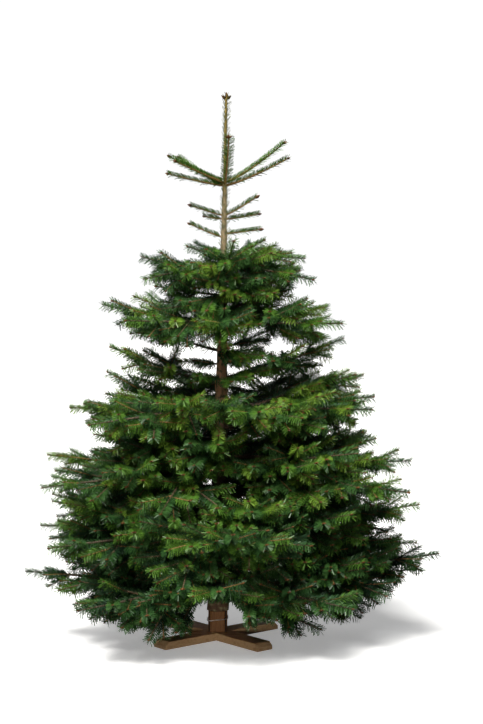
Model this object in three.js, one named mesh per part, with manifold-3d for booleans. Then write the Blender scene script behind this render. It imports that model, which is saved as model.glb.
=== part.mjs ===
// A cut Nordmann-type fir, 2 m tall, with its planed foot on a plain wooden cross stand.
// The tree is one trunk, the boughs of its two lowest tiers, and a mass of sprays for every bough.
// Millimetres, +Z up. The origin is on the floor under the foot; -Y is the tree's front, +X its right.
import * as THREE from "three";
import { mergeVertices } from "three/addons/utils/BufferGeometryUtils.js";
import Module from "manifold-3d";

const wasm = await Module();
wasm.setup();
const { Manifold } = wasm;

// Driving sizes

const touching = 0.3; // the gap between two pieces that touch
const treeHeight = 2000; // from the sawn foot to the top buds
const fused = { coarse: 1.5, fine: 0.05 }; // how far joining a mass, and then trimming it, may move a face

const stand = { boardLength: 540, boardWidth: 72, boardThickness: 28, endSlope: 16, turn: 40 };
const footHeight = stand.boardThickness + touching; // the sawn end's height above the floor

const trunk = {
  lean: 33, // how far the top stands to the right of the foot
  sides: 12,
  rings: 14,
  taper: [ // share of the tree's height, radius
    [0, 43.5], [0.12, 38], [0.3, 30], [0.48, 21], [0.69, 12.5],
    [0.755, 9.5], [0.825, 7.8], [0.845, 6.2], [1, 4.2],
  ],
};
const planedFoot = { height: 78, halfWidth: 35.5, cut: 60 }; // four flats, with bark left at the corners
const wireBand = { height: 46, radius: 1.6, slope: 0.09, steps: 24, sides: 4 };
const topBuds = {
  count: 3,
  length: 15,
  radius: 4.2, // at the bud's middle
  point: 0.8,
  neck: 0.7, // the radius of a bud's foot against that of its middle
  middle: 0.45, // where on its length a bud is thickest
  sunk: 0.2, // the share of its length that is let into the shoot
  spread: 40,
  sides: 5,
};

// How every shoot grows. Lengths are in mm, angles in degrees.
const growth = {
  yearShoot: 150, // one year's shoot, which ends in a fork
  yearSpread: 0.1, // how much that length varies
  forkAngle: 46,
  forkSpread: 7,
  sideShare: 0.78, // a side shoot's length against what its parent grows past the fork
  sideSpread: 0.14,
  tilt: 15, // how far a side shoot leaves the plane of its bough, up and down by turns
  leastTilt: 0.25, // the smallest share of that
  lift: 0.1, // how much more of that is upwards
  curl: 1.2, // over 1, a bough bends towards its tip
  swing: 0.05, // sideways bow, as a share of the reach
  roots: [3.6, 2.9], // the root radius of a side shoot, and of its own side shoots
  cutBack: [1, 0.78, 0.6], // the shares of its length tried where a shoot would meet another mass
  offset: 8, // how far apart the two shoots of a fork stand
  shortest: 130,
  bareRoot: 0.12, // the shares of a bough, and of a side shoot, where nothing grows next to its parent
  bareSide: 0.2,
  rootShare: 0.2, // a bough's radius at its tip, as a share of that at its root
  clearing: { side: 130, height: 140, rise: 0.22 }, // no shoot hangs lower than this in front of the foot
};

// Boughs are [azimuth, reach, tip height]: azimuth 0 is the right, 90 the back and 270 the front.
// stagger lifts and lowers neighbours by turns where they leave the trunk. bare is the share of a bough
// with no foliage, which is then a limb of its own. thick is a bough's root radius against its reach.
const tiers = [
  { name: "top", height: 1690, stagger: 6, oneYear: true, thick: 0.009, boughs: [
    [343, 238, 1775], [160, 215, 1797], [189, 208, 1724], [212, 205, 1760], [278, 112, 1846],
    [32, 260, 1856]] },
  { name: "spur_upper", height: 1574, stagger: 0, oneYear: true, thick: 0.02, boughs: [
    [180, 118, 1609], [342, 120, 1636]] },
  { name: "spur_lower", height: 1500, stagger: 7, oneYear: true, thick: 0.02, boughs: [
    [186, 122, 1540], [354, 128, 1521]] },
  { name: "tier_1", height: 1388, stagger: 7, thick: 0.017, boughs: [
    [153, 300, 1404], [204, 312, 1336], [272, 270, 1388], [343, 340, 1335], [33, 335, 1385]] },
  { name: "tier_2", height: 1170, stagger: 8, thick: 0.017, boughs: [
    [172, 452, 1245], [216, 415, 1186], [276, 350, 1190], [340, 455, 1175], [24, 435, 1238],
    [98, 400, 1250]] },
  { name: "tier_3", height: 954, stagger: 8, thick: 0.017, boughs: [
    [178, 410, 1085], [2, 450, 1118]] },
  { name: "tier_4", height: 856, stagger: 9, thick: 0.017, boughs: [
    [285, 520, 880], [222, 600, 829], [181, 555, 862], [338, 580, 868], [25, 600, 972], [108, 530, 945]] },
  { name: "tier_5", height: 632, stagger: 9, thick: 0.017, boughs: [
    [335, 730, 584], [207, 690, 601], [176, 645, 680], [356, 700, 668], [38, 720, 727]] },
  { name: "tier_6", height: 408, stagger: 10, thick: 0.017, bare: 0.24, boughs: [
    [285, 640, 450], [214, 700, 401], [182, 655, 425], [147, 760, 455], [357, 735, 504]] },
  { name: "tier_7", height: 216, stagger: 11, thick: 0.017, bare: 0.26, boughs: [
    [271, 640, 300], [228, 690, 210], [183, 708, 256], [315, 655, 205], [358, 815, 320], [92, 700, 300]] },
];

// A spray of needles: a blade with swept teeth, thickest along its rib. A tooth stands for a side twig.
const spray = {
  length: 290, // the blade at the end of a long shoot
  halfWidth: 62,
  narrow: 0.6, // the width at the blade's foot, as a share of the widest
  shoulder: 0.25, // how far before its middle a blade is widest
  crest: 20, // the rib's height above and below the shoot
  belly: 26,
  thinning: 0.55, // how much of the rib's height is lost towards the tip
  reach: 0.93, // the share of the blade that has teeth
  teeth: 3,
  fewTeeth: 2, // on a blade shorter than fewBelow
  fewBelow: 210,
  notch: 0.4, // how deep the notch between two teeth is
  sweep: 0.8, // how far on a tooth points, against the distance to the next
  toothLift: 0.3,
  topTooth: 0.6, // the teeth of the rib against those of the edges
  ragged: 0.22,
  roll: 30,
  least: 0.45, // the size of the smallest spray against a full one
  stalkPast: 1.1, // a side shoot this many blades long shows its stalk
};
// The lone shoots of the top carry one long spray, past a bare stalk.
const loneShoot = { halfWidth: 25, tooth: 42, leastTeeth: 3, stalk: 0.17, crest: 6, belly: 5 };
// The leading shoot of a mass is blade for this share of its length at most. Its stalk bends in steps.
const leader = { blade: 0.7, stalkSteps: 3, sides: 6 };

// Helpers

const radians = THREE.MathUtils.degToRad;
const up = new THREE.Vector3(0, 0, 1);

function seededRandom(seed) {
  let state = seed >>> 0;
  const next = () => {
    state = (Math.imul(state, 1664525) + 1013904223) >>> 0;
    return state / 4294967296;
  };
  next();
  next();
  return next;
}

const spreadOf = (dice, amount) => 1 + (2 * dice() - 1) * amount;

// Straight-line value between the [share, value] rows of a list.
function valueAt(rows, share) {
  const after = Math.max(1, rows.findIndex(([s]) => s >= share));
  const [[s0, v0], [s1, v1]] = [rows[after - 1], rows[after]];
  return THREE.MathUtils.lerp(v0, v1, (share - s0) / (s1 - s0));
}

// A three.js geometry as a manifold solid.
function solidOf(geometry) {
  const bare = geometry.clone();
  bare.deleteAttribute("normal");
  bare.deleteAttribute("uv");
  const merged = mergeVertices(bare, 1e-4);
  return new Manifold(new wasm.Mesh({
    numProp: 3,
    vertProperties: merged.attributes.position.array,
    triVerts: new Uint32Array(merged.index.array),
  }));
}

function geometryOf(solid) {
  const mesh = solid.getMesh();
  const geometry = new THREE.BufferGeometry();
  geometry.setAttribute("position", new THREE.BufferAttribute(new Float32Array(mesh.vertProperties), 3));
  geometry.setIndex(new THREE.BufferAttribute(new Uint32Array(mesh.triVerts), 1));
  geometry.computeVertexNormals();
  return geometry;
}

function geometryFrom(points, faces) {
  const geometry = new THREE.BufferGeometry().setFromPoints(points);
  geometry.setIndex(faces.flat());
  return geometry;
}

// A closed skin through rings of equal point count, which run anticlockwise about the way they go.
function loft(rings) {
  const n = rings[0].length;
  const faces = [];
  rings.slice(1).forEach((_, r) => {
    for (let i = 0; i < n; i++) {
      const [a, b] = [r * n + i, r * n + ((i + 1) % n)];
      faces.push([a, b, b + n], [a, b + n, a + n]);
    }
  });
  const last = (rings.length - 1) * n;
  for (let i = 1; i < n - 1; i++) faces.push([0, i + 1, i], [last, last + i, last + i + 1]);
  return geometryFrom(rings.flat(), faces);
}

function ring(centre, along, radius, sides) {
  const out = new THREE.Vector3().crossVectors(up, along);
  if (out.lengthSq() < 1e-6) out.set(1, 0, 0);
  out.normalize();
  return Array.from({ length: sides }, (_, i) =>
    centre.clone().addScaledVector(out.clone().applyAxisAngle(along, (2 * Math.PI * i) / sides), radius));
}

// A tapering limb along centres, square to its own line at both ends.
function limb(centres, radii, sides) {
  return loft(centres.map((centre, i) => {
    const before = centres[Math.max(0, i - 1)];
    const after = centres[Math.min(centres.length - 1, i + 1)];
    return ring(centre, after.clone().sub(before).normalize(), radii[i], sides);
  }));
}

// The largest body of a solid, so that no loose scrap stays.
function whole(solid) {
  const bodies = solid.decompose();
  return bodies.reduce((best, body) => (body.volume() > best.volume() ? body : best), bodies[0]);
}

// Trunk, foot, wire and stand

const trunkShare = (z) => THREE.MathUtils.clamp((z - footHeight) / treeHeight, 0, 1);
const trunkRadius = (z) => valueAt(trunk.taper, trunkShare(z));
const trunkCentre = (z) => new THREE.Vector3(trunk.lean * trunkShare(z), 0, z);

// The round trunk, grown all over by extra. It ends inside the top buds.
function trunkSolid(extra) {
  const reach = treeHeight - topBuds.length * (1 - topBuds.middle);
  const rings = Array.from({ length: trunk.rings + 1 }, (_, i) => {
    const z = footHeight + (reach * i) / trunk.rings;
    return ring(trunkCentre(z), up, trunkRadius(z) + extra, trunk.sides);
  });
  return solidOf(loft(rings));
}

function budSolids() {
  const base = trunkCentre(footHeight + treeHeight - topBuds.length);
  return Array.from({ length: topBuds.count }, (_, i) => {
    const turn = (2 * Math.PI * i) / topBuds.count;
    const lean = i ? radians(topBuds.spread) : 0;
    const out = new THREE.Vector3(Math.cos(turn), Math.sin(turn), 0);
    const along = up.clone().multiplyScalar(Math.cos(lean)).addScaledVector(out, Math.sin(lean));
    const at = (share) => base.clone().addScaledVector(along, topBuds.length * share);
    const radii = [topBuds.radius * topBuds.neck, topBuds.radius, topBuds.point];
    return solidOf(limb([at(-topBuds.sunk), at(topBuds.middle), at(1)], radii, topBuds.sides));
  });
}

// The four flats planed on the foot, as boxes that take away all that stands outside them.
function planingCuts() {
  const { cut, halfWidth, height } = planedFoot;
  return [0, 1, 2, 3].map((quarter) => {
    const box = new THREE.BoxGeometry(cut, 2 * cut, height + cut);
    box.translate(halfWidth + cut / 2, 0, footHeight + (height - cut) / 2);
    box.rotateZ((quarter * Math.PI) / 2);
    return solidOf(box);
  });
}

// The wire lies on the flats and round the corners of the planed foot.
function wireGeometry() {
  const away = wireBand.radius + 3 * touching;
  const points = Array.from({ length: wireBand.steps }, (_, i) => {
    const turn = (2 * Math.PI * i) / wireBand.steps;
    const flat = Math.max(Math.abs(Math.cos(turn)), Math.abs(Math.sin(turn)));
    const r = Math.min((planedFoot.halfWidth + away) / flat, trunkRadius(footHeight) + away);
    const x = r * Math.cos(turn);
    return new THREE.Vector3(x, r * Math.sin(turn), footHeight + wireBand.height + wireBand.slope * x);
  });
  const line = new THREE.CatmullRomCurve3(points, true, "centripetal");
  return new THREE.TubeGeometry(line, wireBand.steps, wireBand.radius, wireBand.sides, true);
}

// One board of the cross, half-lapped over or under the other at its middle.
function boardGeometry(lapFromTop) {
  const { boardLength: length, boardWidth: width, boardThickness: thickness, endSlope } = stand;
  const outline = new THREE.Shape([
    new THREE.Vector2(-length / 2, 0),
    new THREE.Vector2(length / 2, 0),
    new THREE.Vector2(length / 2, thickness / 2),
    new THREE.Vector2(length / 2 - endSlope, thickness),
    new THREE.Vector2(-length / 2 + endSlope, thickness),
    new THREE.Vector2(-length / 2, thickness / 2),
  ]);
  const board = new THREE.ExtrudeGeometry(outline, { depth: width, bevelEnabled: false });
  board.translate(0, 0, -width / 2).rotateX(Math.PI / 2);
  const lap = new THREE.BoxGeometry(width + 2 * touching, 2 * width, thickness);
  lap.translate(0, 0, lapFromTop ? thickness - touching / 2 : touching / 2);
  return geometryOf(solidOf(board).subtract(solidOf(lap)));
}

// The rule of growth

// The line of a bough from the trunk's middle, at 0, to its tip, at 1.
function boughLine(tier, index) {
  const [azimuth, reach, tipHeight] = tier.boughs[index];
  const dice = seededRandom(tier.height * 64 + index);
  const turn = radians(azimuth);
  const out = new THREE.Vector3(Math.cos(turn), Math.sin(turn), 0);
  const side = new THREE.Vector3(-out.y, out.x, 0);
  const start = trunkCentre(tier.height + (index % 2 ? tier.stagger : -tier.stagger));
  const bow = growth.swing * reach * (2 * dice() - 1);
  return (t) => start.clone()
    .addScaledVector(out, reach * t)
    .addScaledVector(side, bow * Math.sin(Math.PI * t))
    .setZ(THREE.MathUtils.lerp(start.z, tipHeight, t ** growth.curl));
}

// A line's length, and the share of the line that lies a distance back from its tip.
function measure(line) {
  const steps = 24;
  const lengths = [0];
  for (let i = 0; i < steps; i++) {
    lengths.push(lengths[i] + line(1 - i / steps).distanceTo(line(1 - (i + 1) / steps)));
  }
  const rows = lengths.map((d, i) => [d, 1 - i / steps]);
  return { length: lengths[steps], shareBack: (distance) => valueAt(rows, distance) };
}

// The way a line goes at a share of its length, seen over a short stretch to either side.
function wayAt(line, t, stretch) {
  return line(Math.min(1, t + stretch)).sub(line(Math.max(0, t - stretch))).normalize();
}

// In front of the foot, shoots stop above a line that rises outwards.
function hidesFoot({ base, along, length }) {
  const tip = base.clone().addScaledVector(along, length);
  const { side, height, rise } = growth.clearing;
  return tip.y < 0 && Math.abs(tip.x) < side && tip.z < height - rise * tip.y;
}

// The side shoots of a parent line: a pair at each year's fork, counted back from the tip.
function sideShoots(line, seed, bareShare) {
  const dice = seededRandom(seed);
  const { length, shareBack } = measure(line);
  const found = [];
  let back = 0;
  for (let fork = 1; ; fork++) {
    back += growth.yearShoot * spreadOf(dice, growth.yearSpread);
    if (back > length) return found;
    const t = shareBack(back);
    const ahead = wayAt(line, t, 0.02);
    const level = up.clone().addScaledVector(ahead, -ahead.dot(up)).normalize();
    for (const hand of [1, -1]) {
      const angle = radians(growth.forkAngle + growth.forkSpread * (2 * dice() - 1));
      const rise = (fork % 2 ? hand : -hand) * THREE.MathUtils.lerp(growth.leastTilt, 1, dice());
      const tilt = radians(growth.tilt * (rise + growth.lift));
      const shootLength = back * growth.sideShare * spreadOf(dice, growth.sideSpread);
      const along = ahead.clone().applyAxisAngle(level, hand * angle);
      along.addScaledVector(level, Math.tan(tilt)).normalize();
      const plane = level.clone().applyAxisAngle(along, radians(spray.roll * (2 * dice() - 1)));
      const base = line(shareBack(back - (hand > 0 ? growth.offset : 0)));
      const name = seed * 8 + fork * 2 + (hand > 0 ? 1 : 0);
      const shoot = { base, along, plane, length: shootLength, seed: name };
      if (t > bareShare && !hidesFoot(shoot)) found.push(shoot);
    }
  }
}

const shootLine = (shoot) => (t) => shoot.base.clone().addScaledVector(shoot.along, shoot.length * t);

// The solids of a foliage mass

function boughRadius(tier, index, t) {
  return tier.boughs[index][1] * tier.thick * THREE.MathUtils.lerp(1, growth.rootShare, t) + 1;
}

// One shoot as one closed skin: a bare stalk, then a blade with swept teeth, thickest along its rib.
// Every station has points above, below and at either edge. A tooth on the two edges and on the crest
// stands further out than they do, and further on.
function shootSolid(line, plane, { start = 0, bladeLength, teeth, stalkSteps, radiusAt, size, seed }) {
  const dice = seededRandom(seed);
  const { shareBack } = measure(line);
  const bladeStart = Math.max(start, shareBack(bladeLength));
  const bladeEnd = shareBack(bladeLength * (1 - spray.reach));
  const stations = Array.from({ length: stalkSteps }, (_, i) => {
    const t = THREE.MathUtils.lerp(start, bladeStart, i / stalkSteps);
    return { t, crest: radiusAt(t), belly: radiusAt(t), edge: radiusAt(t) };
  });
  for (let i = 0; i <= teeth; i++) {
    const share = i / teeth;
    const t = THREE.MathUtils.lerp(bladeStart, bladeEnd, share);
    const bulge = Math.sin(Math.PI * Math.min(1, share + spray.shoulder));
    const width = size.halfWidth * THREE.MathUtils.lerp(spray.narrow, 1, bulge);
    const swell = i ? 1 - spray.thinning * share : 0;
    const least = radiusAt(t);
    stations.push({
      t,
      crest: Math.max(least, size.crest * swell),
      belly: Math.max(least, size.belly * swell),
      edge: Math.max(least, spray.notch * width * (i ? 1 : 0)),
      tooth: i < teeth ? width : 0,
    });
  }

  const points = [];
  const faces = [];
  const add = (t, v, w) => {
    const along = wayAt(line, t, 0.01);
    const side = new THREE.Vector3().crossVectors(plane, along).normalize();
    const lift = new THREE.Vector3().crossVectors(along, side);
    return points.push(line(t).addScaledVector(side, v).addScaledVector(lift, w)) - 1;
  };
  for (const [i, station] of stations.entries()) {
    station.top = add(station.t, 0, station.crest);
    station.bottom = add(station.t, 0, -station.belly);
    station.left = add(station.t, station.edge, 0);
    station.right = add(station.t, -station.edge, 0);
    if (!station.tooth) continue;
    const t = THREE.MathUtils.lerp(station.t, stations[i + 1].t, spray.sweep);
    const ragged = () => station.tooth * spreadOf(dice, spray.ragged);
    station.leftTooth = add(t, ragged(), spray.toothLift * ragged() * (2 * dice() - 1));
    station.rightTooth = add(t, -ragged(), spray.toothLift * ragged() * (2 * dice() - 1));
    station.topTooth = add(t, 0, spray.topTooth * ragged());
  }
  const tip = add(1, 0, 0);
  for (const face of ["top", "bottom"]) {
    for (const hand of ["left", "right"]) {
      const turned = (face === "top") !== (hand === "left");
      const put = (a, b, c) => faces.push(turned ? [a, c, b] : [a, b, c]);
      stations.slice(0, -1).forEach((here, i) => {
        const next = stations[i + 1];
        const side = here[`${hand}Tooth`] || here[hand];
        const crest = here[`${face}Tooth`] || here[face];
        if (side !== here[hand]) put(here[face], side, here[hand]);
        if (crest !== here[face]) put(here[face], crest, side);
        put(crest, next[hand], side);
        put(crest, next[face], next[hand]);
      });
      const last = stations.at(-1);
      put(last[face], tip, last[hand]);
    }
  }
  const [first] = stations;
  faces.push([first.top, first.left, first.bottom], [first.top, first.bottom, first.right]);
  return solidOf(geometryFrom(points, faces));
}

// A side shoot: a long one shows its stalk, a short one is all spray.
function sideSolid(shoot, root) {
  const bladeLength = Math.min(spray.length, shoot.length);
  const share = THREE.MathUtils.lerp(spray.least, 1, bladeLength / spray.length);
  return shootSolid(shootLine(shoot), shoot.plane, {
    bladeLength,
    teeth: bladeLength < spray.fewBelow ? spray.fewTeeth : spray.teeth,
    stalkSteps: shoot.length > spray.length * spray.stalkPast ? 1 : 0,
    radiusAt: (t) => root * (1 - t / 2),
    size: { halfWidth: spray.halfWidth * share, crest: spray.crest * share, belly: spray.belly * share },
    seed: shoot.seed,
  });
}

// The leading shoot of a mass: it starts inside the trunk, or just past the end of its bough.
function leadingSolid(tier, index, line) {
  const { length } = measure(line);
  const radiusAt = (t) => boughRadius(tier, index, t);
  const seed = tier.height + index;
  if (tier.oneYear) {
    const bladeLength = length * (1 - loneShoot.stalk);
    const teeth = Math.max(loneShoot.leastTeeth, Math.round(length / loneShoot.tooth));
    return shootSolid(line, up, { bladeLength, teeth, stalkSteps: 1, radiusAt, size: loneShoot, seed });
  }
  return shootSolid(line, up, {
    start: tier.bare ? tier.bare + touching / length : 0,
    bladeLength: Math.min(spray.length, leader.blade * length),
    teeth: spray.teeth,
    stalkSteps: leader.stalkSteps,
    radiusAt,
    size: spray,
    seed,
  });
}

function boughSolid(tier, index, line) {
  const steps = leader.stalkSteps;
  const shares = Array.from({ length: steps + 1 }, (_, i) => (tier.bare * i) / steps);
  return solidOf(limb(shares.map(line), shares.map((t) => boughRadius(tier, index, t)), leader.sides));
}

// Assembly

const tree = new THREE.Group();

function addNode(name, geometry, colour, roughness, metalness = 0) {
  const material = new THREE.MeshStandardMaterial({ color: colour, roughness, metalness });
  const mesh = new THREE.Mesh(geometry, material);
  mesh.name = name;
  tree.add(mesh);
  return mesh;
}

const colours = { bark: 0x6b4f3a, bough: 0x7a5638, needles: 0x2f5a26, board: 0xb08a5a, wire: 0xa9a6a3 };

const trunkWhole = Manifold.union([trunkSolid(0), ...budSolids()]).subtract(Manifold.union(planingCuts()));
const trunkClear = trunkSolid(touching);
addNode("trunk", geometryOf(trunkWhole), colours.bark, 0.9);
addNode("wire_band", wireGeometry(), colours.wire, 0.4, 0.8);

const standGroup = new THREE.Group();
standGroup.rotation.z = radians(stand.turn);
tree.add(standGroup);
const lowerBoard = addNode("stand_board_lower", boardGeometry(true), colours.board, 0.8);
const upperBoard = addNode("stand_board_upper", boardGeometry(false), colours.board, 0.8);
upperBoard.rotation.z = Math.PI / 2;
standGroup.add(lowerBoard, upperBoard);

// Every mass first gets its leading shoot, so that side shoots can keep clear of all of them.
const masses = [];
const limbs = [trunkClear];
for (const tier of tiers) {
  tier.boughs.forEach((_, index) => {
    const line = boughLine(tier, index);
    const solids = [leadingSolid(tier, index, line)];
    masses.push({ name: `foliage_${tier.name}_${index + 1}`, tier, index, line, solids });
    if (!tier.bare) return;
    const bough = whole(boughSolid(tier, index, line).subtract(trunkClear));
    limbs.push(bough);
    addNode(`bough_${tier.name}_${index + 1}`, geometryOf(bough), colours.bough, 0.85);
  });
}

function boxesApart(a, b, gap) {
  return [0, 1, 2].some((i) => a.min[i] > b.max[i] + gap || b.min[i] > a.max[i] + gap);
}

function touches(solid, others) {
  const near = 2 * touching;
  const box = solid.boundingBox();
  return others.some((other) =>
    !boxesApart(box, other.boundingBox(), near) && solid.minGap(other, 1) < near);
}

// Side shoots are added in rounds, and then their own side shoots, so that no mass crowds out another. One
// that would meet another mass or a limb is cut back, or left out with all that would grow from it.
let parents = masses.filter(({ tier }) => !tier.oneYear).map((mass) => ({
  mass,
  line: mass.line,
  seed: mass.tier.height * 16 + mass.index,
  from: mass.tier.bare ?? growth.bareRoot,
}));
for (const root of growth.roots) {
  const grown = [];
  for (const { mass, line, seed, from } of parents) {
    const others = masses.filter((other) => other !== mass);
    const strangers = limbs.concat(others.flatMap((other) => other.solids));
    for (const shoot of sideShoots(line, seed, from)) {
      const kept = growth.cutBack.map((share) => ({ ...shoot, length: share * shoot.length }))
        .find((one) => one.length > growth.shortest && !touches(sideSolid(one, root), strangers));
      if (!kept) continue;
      mass.solids.push(sideSolid(kept, root));
      grown.push({ mass, line: shootLine(kept), seed: shoot.seed, from: growth.bareSide });
    }
  }
  parents = grown;
}

for (const { name, solids } of masses) {
  const mass = Manifold.union(solids).simplify(fused.coarse).subtract(trunkClear).simplify(fused.fine);
  addNode(name, geometryOf(whole(mass)), colours.needles, 0.65);
}

export default tree;
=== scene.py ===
import math
import bpy
import bmesh
import numpy as np
from mathutils import Matrix, Vector, noise


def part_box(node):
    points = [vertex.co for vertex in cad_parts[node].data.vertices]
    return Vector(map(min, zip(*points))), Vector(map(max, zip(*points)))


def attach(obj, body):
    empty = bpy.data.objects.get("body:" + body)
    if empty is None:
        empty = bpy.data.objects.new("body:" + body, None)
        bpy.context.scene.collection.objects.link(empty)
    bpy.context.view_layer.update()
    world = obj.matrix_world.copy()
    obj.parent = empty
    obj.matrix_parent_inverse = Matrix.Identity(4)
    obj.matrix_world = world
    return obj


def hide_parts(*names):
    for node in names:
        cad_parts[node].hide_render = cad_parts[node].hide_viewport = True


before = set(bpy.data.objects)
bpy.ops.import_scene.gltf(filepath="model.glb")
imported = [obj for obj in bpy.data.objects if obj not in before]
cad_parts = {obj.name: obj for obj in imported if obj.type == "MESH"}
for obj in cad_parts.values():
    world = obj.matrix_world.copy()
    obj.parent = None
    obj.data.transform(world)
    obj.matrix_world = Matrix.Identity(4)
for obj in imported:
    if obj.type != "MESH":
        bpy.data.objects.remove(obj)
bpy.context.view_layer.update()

from types import SimpleNamespace as Values

scene = bpy.context.scene
foliageNodes = [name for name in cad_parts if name.startswith("foliage")]
boughNodes = [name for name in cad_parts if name.startswith("bough")]

# the trunk's own ends, from the frame
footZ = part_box("trunk")[0][2]
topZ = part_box("trunk")[1][2]
treeHeight = topZ - footZ


def link(thing):
    scene.collection.objects.link(thing)
    return thing


def seededRandom(seed):
    # the same dice as the solids are grown with
    state = [int(seed) & 0xffffffff]

    def roll():
        state[0] = (state[0] * 1664525 + 1013904223) & 0xffffffff
        return state[0] / 4294967296

    roll()
    roll()
    return roll


def about(dice, amount):
    # a factor near 1, off by the amount at most
    return 1 + (2 * dice() - 1) * amount


def among(dice, least, most):
    return least + (most - least) * dice()


def unit(vector):
    return vector / np.linalg.norm(vector)


def turned(vector, axis, angle):
    # vector turned about a unit axis
    c, s = math.cos(angle), math.sin(angle)
    return vector * c + np.cross(axis, vector) * s + axis * np.dot(axis, vector) * (1 - c)


def compass(azimuth):
    # azimuth 0 is the right, 90 the back and 270 the front
    return np.array([math.cos(math.radians(azimuth)), math.sin(math.radians(azimuth)), 0])


up = np.array([0.0, 0.0, 1.0])

# the trunk's line, which everything else grows from
trunk = Values(
    lean=0.033,  # the top stands this far to the right of the foot
    taper=[(0, .0435), (.12, .038), (.3, .030), (.48, .021), (.69, .0125), (.755, .0095),
              (.825, .0078), (.845, .0062), (1, .0042)],  # share of the height, radius
    sides=72,
    ringStep=0.0045,
    barkEnd=0.010,  # the bark stops this far below the tip of the top buds
)


def trunkShare(z):
    return min(1, max(0, (z - footZ) / treeHeight))


def trunkRadius(z):
    shares, radii = zip(*trunk.taper)
    return float(np.interp(trunkShare(z), shares, radii))


def trunkCentre(z):
    return np.array([trunk.lean * trunkShare(z), 0, z])


# how the tree grows: the rule of the solids, carried on to finer shoots
growth = Values(
    yearShoot=0.150, yearSpread=0.1,
    forkAngle=46, forkSpread=7, forkRise=(0.25, 1.0),
    sideShare=0.78, sideSpread=0.14,
    tilt=15, lift=0.1, roll=30,
    curl=1.2, swing=0.05, offset=0.008,
    bareShare=0.12,  # the share of a shoot next to its base that bears none
    orders=4, shortest=0.060,
    bend=0.10, droop=0.4, sag=0.35,  # a side shoot's bow, as a share of its length
    fillStart=1.05, fillGap=0.105, fillSpread=(0.6, 1.4),  # the short shoots between forks
    fillLength=(0.100, 0.150), fillAngle=(36, 48), fillRise=(-0.13, 0.17),
    underShare=0.60, underAngle=(16, 36), underSway=50,  # a third shoot hangs below each fork
    clearSide=0.085, clearHeight=0.14, clearRise=0.22,  # no shoot hangs in front of the foot
    lowest=0.055, frontRise=0.07,  # no tip comes nearer the floor, and less near further forward
)
diceFor = Values(bend=5, short=77, under=31, tint=3)  # added to a shoot's seed, one for each use


def whorl(height, stagger, boughs, oneYear=False):
    # boughs are (azimuth, reach, tip height)
    return Values(height=height, stagger=stagger, boughs=boughs, oneYear=oneYear)


tiers = {
    "top": whorl(1.690, .006, oneYear=True, boughs=[
        (343, .238, 1.775), (160, .215, 1.797), (189, .208, 1.724), (212, .205, 1.760), (278, .112, 1.846),
        (32, .260, 1.856)]),
    "spur_upper": whorl(1.574, 0, oneYear=True, boughs=[(180, .118, 1.609), (342, .120, 1.636)]),
    "spur_lower": whorl(1.500, .007, oneYear=True, boughs=[(186, .122, 1.540), (354, .128, 1.521)]),
    "tier_1": whorl(1.388, .007, [
        (153, .300, 1.404), (204, .312, 1.336), (272, .270, 1.388), (343, .340, 1.335), (33, .335, 1.385)]),
    "tier_2": whorl(1.170, .008, [
        (172, .452, 1.245), (216, .415, 1.186), (276, .350, 1.190), (340, .455, 1.175), (24, .435, 1.238),
        (98, .400, 1.250)]),
    "tier_3": whorl(.954, .008, [(178, .410, 1.085), (2, .450, 1.118)]),
    "tier_4": whorl(.856, .009, [
        (285, .520, .880), (222, .600, .829), (181, .555, .862), (338, .580, .868), (25, .600, .972),
        (108, .530, .945)]),
    "tier_5": whorl(.632, .009, [
        (335, .730, .584), (207, .690, .601), (176, .645, .680), (356, .700, .668), (38, .720, .727)]),
    "tier_6": whorl(.408, .010, [
        (285, .640, .450), (214, .700, .401), (182, .655, .425), (147, .760, .455), (357, .735, .504)]),
    "tier_7": whorl(.216, .011, [
        (271, .640, .300), (228, .690, .210), (183, .708, .256), (315, .655, .205), (358, .815, .320),
        (92, .700, .300)]),
}

# thin whorls between those, each of a few weak shoots
thinWhorls = {
    "top_behind": whorl(1.690, 0, oneYear=True, boughs=[(135, .245, 1.806)]),
    "spur_middle": whorl(1.560, 0, oneYear=True, boughs=[(184, .070, 1.570), (350, .124, 1.577)]),
    "collar_high": whorl(1.425, .006, [
        (35, .235, 1.470), (150, .120, 1.475), (350, .150, 1.480), (255, .160, 1.440), (212, .150, 1.455),
        (8, .300, 1.418)]),
    "collar_middle": whorl(1.345, .004, [
        (318, .200, 1.340), (24, .180, 1.348), (192, .160, 1.345), (187, .300, 1.420)]),
    "collar_low": whorl(1.285, .006, [
        (196, .250, 1.310), (350, .255, 1.273), (300, .240, 1.336), (257, .240, 1.223)]),
    "gap_high": whorl(1.078, .006, [
        (176, .300, 1.165), (25, .200, 1.150), (300, .150, 1.045), (284, .120, 1.040), (322, .185, 1.058)]),
    "gap_middle": whorl(1.030, .006, [(342, .190, 1.062), (15, .160, 1.070), (186, .165, 1.036)]),
    "gap_low": whorl(.970, .006, [
        (8, .280, 1.045), (340, .200, 1.010), (190, .170, 1.010), (235, .150, .985), (285, .140, .965)]),
    "waist": whorl(.850, 0, [(354, .560, .905), (66, .480, .930)]),
    "back": whorl(.590, .006, [(80, .580, .690), (128, .570, .700)]),
    "hip": whorl(.330, .006, [(3, .735, .350), (60, .620, .440), (108, .580, .430)]),
    "hem": whorl(.190, .004, [
        (180, .520, .185), (328, .330, .130), (15, .300, .120), (218, .220, .125), (345, .200, .110),
        (316, .500, .110), (358, .735, .262)]),
}


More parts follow.
